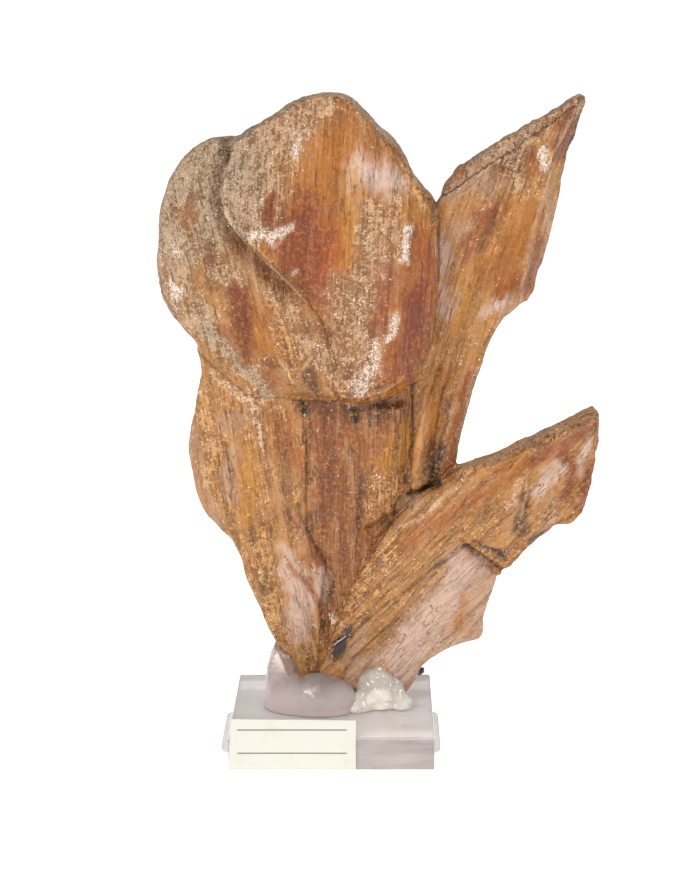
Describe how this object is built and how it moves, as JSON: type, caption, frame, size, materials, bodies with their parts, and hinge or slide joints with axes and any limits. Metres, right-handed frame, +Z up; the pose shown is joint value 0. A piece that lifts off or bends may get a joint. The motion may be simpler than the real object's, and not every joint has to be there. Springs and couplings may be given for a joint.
{
  "type": "mounted selenite crystal group",
  "caption": "Honey-brown selenite crystals grown into one branching group, set in clear glue on a small clear block with a bare label card at its front.",
  "frame": {"origin": "on the resting surface, below the middle of the base block", "axes": "+Z up; -Y towards the front, where the label card is; +X to the right as seen from the front, the way the two long crystals branch"},
  "size_m": [0.1074, 0.0506, 0.1631],
  "materials": {
    "selenite": "cloudy honey-brown crystal, glassy on the cleaved faces and grainy where it is crusted",
    "acrylic": "clear, polished",
    "milky_glue": "milky, smooth",
    "clear_glue": "clear, wet-looking",
    "card": "cream paper card, matt"
  },
  "bodies": {
    "root": {"crystal_group": "selenite", "glue_mound": "milky_glue", "glue_dab": "clear_glue", "base_block": "acrylic", "foot_plate": "acrylic", "label_card": "card"}
  },
  "joints": []
}
